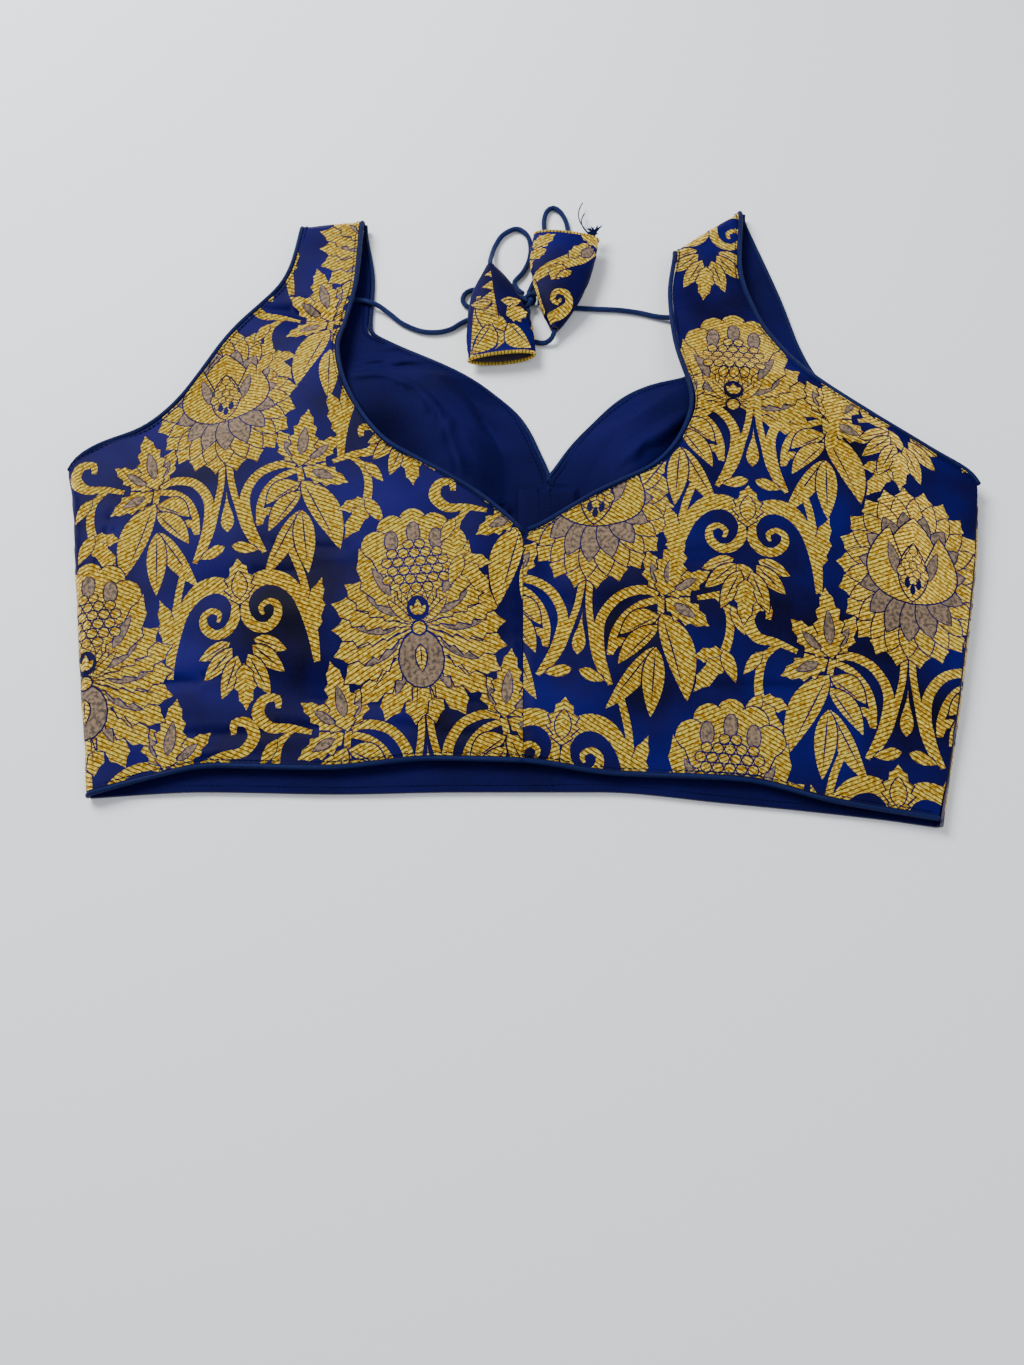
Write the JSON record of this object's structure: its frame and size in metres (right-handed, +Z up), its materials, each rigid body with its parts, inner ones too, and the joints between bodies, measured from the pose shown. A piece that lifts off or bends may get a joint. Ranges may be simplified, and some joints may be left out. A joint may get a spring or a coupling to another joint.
{
  "type": "choli blouse",
  "caption": "Sleeveless brocade choli blouse laid flat with its back up: deep V back neck, padded front, piped edges, and tie cords in a bow with cloth tassels.",
  "frame": {"origin": "centre of the bounding box of the blouse without its cords, on the surface that it lies on", "axes": "+X across the blouse, +Y from the hem to the shoulder folds, +Z up off the surface; the back faces up"},
  "size_m": [0.4721, 0.3678, 0.0195],
  "materials": {
    "brocade": "navy satin ground with a woven gold flower pattern",
    "navy_lining": "matt navy plain-weave lining",
    "navy_bias": "navy satin bias strip, rolled"
  },
  "bodies": {
    "root": {"back_left": "brocade", "back_right": "brocade", "bow_knot": "navy_bias", "bow_loop_left": "navy_bias", "bow_loop_right": "navy_bias", "dori_left": "navy_bias", "dori_right": "navy_bias", "front_left": "brocade", "front_right": "brocade", "latkan_left": "brocade", "latkan_right": "brocade", "lining_left": "navy_lining", "lining_right": "navy_lining", "piping_back_arm_left": "navy_bias", "piping_back_arm_right": "navy_bias", "piping_back_hem_left": "navy_bias", "piping_back_hem_right": "navy_bias", "piping_back_neck_left": "navy_bias", "piping_back_neck_right": "navy_bias", "piping_front_arm_left": "navy_bias", "piping_front_arm_right": "navy_bias", "piping_front_neck_left": "navy_bias", "piping_front_neck_right": "navy_bias", "placket": "navy_lining", "tail_left": "navy_bias", "tail_right": "navy_bias"}
  },
  "joints": []
}
